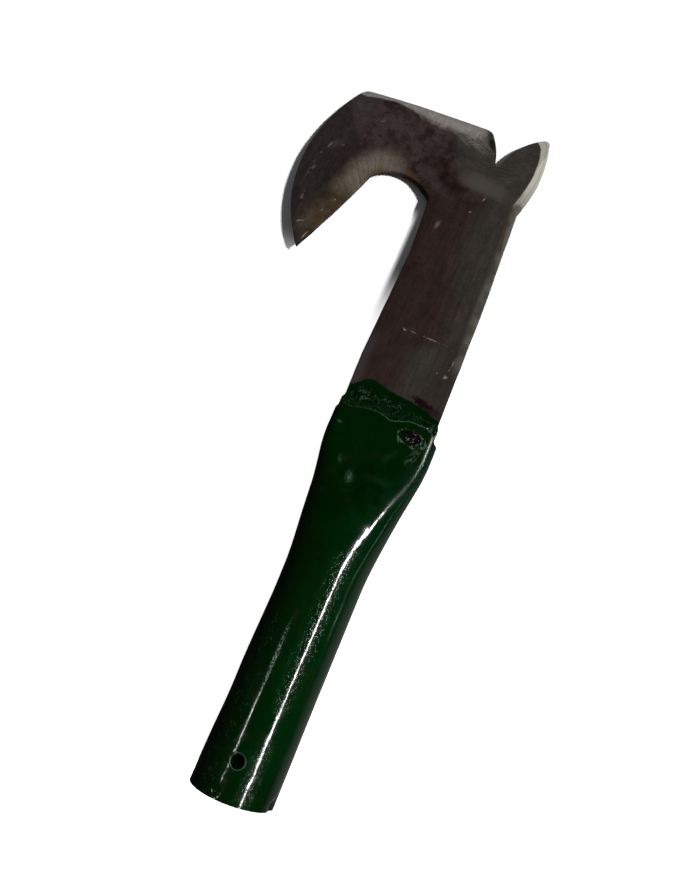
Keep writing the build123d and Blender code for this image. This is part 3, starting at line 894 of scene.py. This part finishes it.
for node, facing in (("mouth_weld_front", 1), ("mouth_weld_back", -1)):
    bead_form = joined_copy(node)
    for axis, span in enumerate(BEAD_SPANS):
        slice_up(bead_form, axis, span, BEAD_CELL)
    bead_form.normal_update()
    for vertex in bead_form.verts:
        above = facing * vertex.co.z - BLADE_FACE
        lift = min(max(above / BEAD_FADE, 0), 1)
        ripple = 0.5 * noise.noise(vertex.co * 0.55) + 0.45 * abs(noise.noise(vertex.co * 1.15))
        vertex.co += vertex.normal * lift * ripple * BEAD_LUMPS
        if above > 0:
            vertex.co.z -= facing * above * BEAD_SINK
    bead_piece = piece_from(bead_form, node + "_bead", lumpy_material, sharp=75.0)
    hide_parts(node)
    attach(bead_piece, "root")

# Plug weld
# One spot of weld through a torn hole in the front of the palm holds the tang. It was chipped clean of
# enamel, and is left dark and slaggy.

SLAG_CELL = 0.28
SLAG_SPANS = ((9.0, 17.0), (152.0, 159.0))
CRUST_FROM = 3.6               # below this height the weld is fused to the hole's wall
CRUST_FADE = 0.6
CRUST_LUMPS = 0.9

slag_form = joined_copy("plug_weld")
for axis, span in enumerate(SLAG_SPANS):
    slice_up(slag_form, axis, span, SLAG_CELL)
slag_form.normal_update()
for vertex in slag_form.verts:
    lift = min(max((vertex.co.z - CRUST_FROM) / CRUST_FADE, 0), 1)
    crust = 0.55 * noise.noise(vertex.co * 0.75) + 0.4 * noise.noise(vertex.co * 1.9) - 0.15
    vertex.co.z += lift * crust * CRUST_LUMPS
slag = Finish("weld_slag")
slag_grains_and_glints = 0.5 * slag.noise(0.6, 2.0) + 0.5 * slag.noise(1.6, 2.0)
# The pale grains on the dark slag are painted glints
slag_colour = slag.mix(slag.rise(slag_grains_and_glints, 0.55, 0.63), shade(6, 3, 7), shade(118, 112, 118))
slag_material = slag.shader(
    slag_colour, 0.6 - 0.2 * slag.rise(slag_grains_and_glints, 0.5, 0.7), slag.bump(0.25 * slag.noise(0.6, 3.0)), 0.0,
    {"Specular IOR Level": 0.04},
)
slag_piece = piece_from(slag_form, "plug_slag", slag_material, sharp=75.0)
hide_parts("plug_weld")
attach(slag_piece, "root")

# Table
# A plain white table. The tool rests on the bottom of its pipe and the back of its hook, so the table
# stands at a slight slope in the tool's own frame. The gloss mirrors it darker than the camera sees it.

PIPE_REST = (100.0, -16.75)    # the pipe's lowest place, along the tool and up
HOOK_REST = (316.0, -2.75)
TABLE_SIZE = 3000.0
MIRRORED_BOARD = (0.012, 0.012, 0.012, 1)
BOARD_BESIDE_BLADE = (0.45, 0.44, 0.42, 1)
PAPER_WHITE = (0.98, 0.98, 0.98, 1)
BOARD_GLOW = 0.94
MIRRORED_PAPER = 0.18          # the share of white in the mirror image along the tool's right

slope = math.atan2(HOOK_REST[1] - PIPE_REST[1], HOOK_REST[0] - PIPE_REST[0])
table_form = bmesh.new()
bmesh.ops.create_grid(table_form, x_segments=1, y_segments=1, size=TABLE_SIZE)
bmesh.ops.rotate(table_form, verts=table_form.verts, matrix=Matrix.Rotation(slope, 3, "X"))
bmesh.ops.translate(table_form, verts=table_form.verts, vec=(0, PIPE_REST[0], PIPE_REST[1]))
table_top = Finish("white_table")

# As the tool's surfaces see it: dark, but paler below the blade, and in their gloss along the tool's right
mirrored = table_top.node("ShaderNodeLightPath", output="Is Glossy Ray")
beside_blade = table_top.rise(table_top.y, 180, 215) * (1 - mirrored)
board_colour = table_top.mix(beside_blade, MIRRORED_BOARD, BOARD_BESIDE_BLADE)
grey_board = table_top.node("ShaderNodeBsdfDiffuse", values={"Color": board_colour})
paper = table_top.node("ShaderNodeBsdfDiffuse", values={"Color": PAPER_WHITE})
near_right = table_top.rise(table_top.x, 8, 22) * table_top.rise(table_top.x, 190, 24)
pale_share = MIRRORED_PAPER * near_right * mirrored
reflected = table_top.node("ShaderNodeMixShader", values={0: pale_share, 1: grey_board, 2: paper})

# As the camera sees it: glowing white, except round the hook, where the shadow shows
glow = table_top.node("ShaderNodeEmission", values={"Color": (1, 1, 1, 1), "Strength": BOARD_GLOW})
lit_paper = table_top.node("ShaderNodeAddShader", values={0: paper, 1: glow})
in_the_gap = table_top.rise(table_top.x, -25.0, -28.5) * table_top.rise(table_top.x, -52, -46)
in_the_gap = in_the_gap * table_top.rise(table_top.y, 268, 258)
under_hook = table_top.rise(table_top.y, 200, 236) * (1 - in_the_gap)
white_board = table_top.node("ShaderNodeMixShader", values={0: under_hook, 1: lit_paper, 2: paper})
seen = table_top.node("ShaderNodeLightPath", output="Is Camera Ray")
through = table_top.node("ShaderNodeLightPath", output="Is Transmission Ray")
shown = table_top.rise(seen + through, 0, 1)
surface = table_top.node("ShaderNodeMixShader", values={0: shown, 1: reflected, 2: white_board})
table_top.node("ShaderNodeOutputMaterial", values={"Surface": surface})
table_piece = piece_from(table_form, "table", table_top.material)

# Light
# Strip lamps that show only as lines in the gloss: a long one at the upper right in two lengths, a fainter
# one at the left, and one low at the right. Two suns light the colours. The room is dark to the tool, and
# white to the camera.

HANDLE_MIDDLE = (0, 60, 10)    # the strip lamps face this place


def strip_lamp(name, start, end, width, watts):
    """A strip lamp between two places in millimetres that faces the handle, and shows in its gloss."""
    lamp = bpy.data.lights.new(name, "AREA")
    lamp.shape = "RECTANGLE"
    lamp.size = width * MM
    lamp.size_y = (Vector(end) - Vector(start)).length * MM
    lamp.energy = watts
    holder = bpy.data.objects.new(name, lamp)
    middle = (Vector(start) + Vector(end)) / 2
    run = (Vector(end) - Vector(start)).normalized()
    back = (middle - Vector(HANDLE_MIDDLE)).normalized()
    side = run.cross(back).normalized()
    back = side.cross(run)
    holder.matrix_world = Matrix.Translation(middle * MM) @ Matrix((side, run, back)).transposed().to_4x4()
    holder.visible_diffuse = False
    bpy.context.scene.collection.objects.link(holder)


def even_light(name, direction, spread, level):
    """Light from a direction that doesn't show in the gloss. At a level of 1 it lights paper white."""
    lamp = bpy.data.lights.new(name, "SUN")
    lamp.angle = math.radians(spread)
    lamp.energy = level * math.pi
    holder = bpy.data.objects.new(name, lamp)
    holder.rotation_mode = "QUATERNION"
    holder.rotation_quaternion = Vector(direction).to_track_quat("Z", "Y")
    holder.visible_glossy = False
    bpy.context.scene.collection.objects.link(holder)


class RoomWalls(Finish):
    """The walls of the room, which are the world's surface and have no pattern."""

    def __init__(self, world):
        self.tree = emptied(world)


strip_lamp("right_strip", (590, -260, 800), (674, 262, 757), 28, 5.6)
strip_lamp("palm_strip", (674, 262, 757), (700, 420, 745), 36, 3.8)
strip_lamp("left_strip", (-545, -215, 838), (-494, -66, 875), 11, 0.34)
strip_lamp("low_strip", (1190, 30, 57), (1240, 420, 40), 8, 0.10)
even_light("key", (0.56, -0.12, 0.83), 5, 1.18)
even_light("fill", (0.05, 0.15, 1.0), 140, 0.08)

room = bpy.data.worlds.new("room")
bpy.context.scene.world = room
walls = RoomWalls(room)
dark_room = walls.node("ShaderNodeBackground", values={"Color": (1, 1, 1, 1), "Strength": 0.012})
white_wall = walls.node("ShaderNodeBackground", values={"Color": (1, 1, 1, 1), "Strength": 1.0})
to_camera = walls.node("ShaderNodeLightPath", output="Is Camera Ray")
room_surface = walls.node("ShaderNodeMixShader", values={0: to_camera, 1: dark_room, 2: white_wall})
walls.node("ShaderNodeOutputWorld", values={"Surface": room_surface})

# Camera
# It looks down on the tool from beside the middle of the handle, and the tool leans to the right in view.

CAMERA_PLACE = (18.49, 72.5, 292.75)
PICTURE_TURN = math.radians(22.65)
CAMERA_TILT = math.radians(15.6)
PICTURE_SIZE = (700, 869)
FOCAL_PIXELS = 700
SENSOR_WIDTH = 36.0

to_picture_right = Vector((math.cos(PICTURE_TURN), math.sin(PICTURE_TURN), 0))
up_the_picture = Vector((-math.sin(PICTURE_TURN), math.cos(PICTURE_TURN), 0))
straight_up = Vector((0, 0, 1))
camera_up = math.cos(CAMERA_TILT) * up_the_picture + math.sin(CAMERA_TILT) * straight_up
camera_back = math.cos(CAMERA_TILT) * straight_up - math.sin(CAMERA_TILT) * up_the_picture
lens = bpy.data.cameras.new("camera")
lens.sensor_width = SENSOR_WIDTH
lens.lens = SENSOR_WIDTH * FOCAL_PIXELS / max(PICTURE_SIZE)
lens.clip_start = 0.01
camera = bpy.data.objects.new("camera", lens)
turned = Matrix((to_picture_right, camera_up, camera_back)).transposed().to_4x4()
camera.matrix_world = Matrix.Translation(Vector(CAMERA_PLACE) * MM) @ turned
bpy.context.scene.collection.objects.link(camera)
bpy.context.scene.camera = camera
bpy.context.scene.view_settings.view_transform = "Standard"
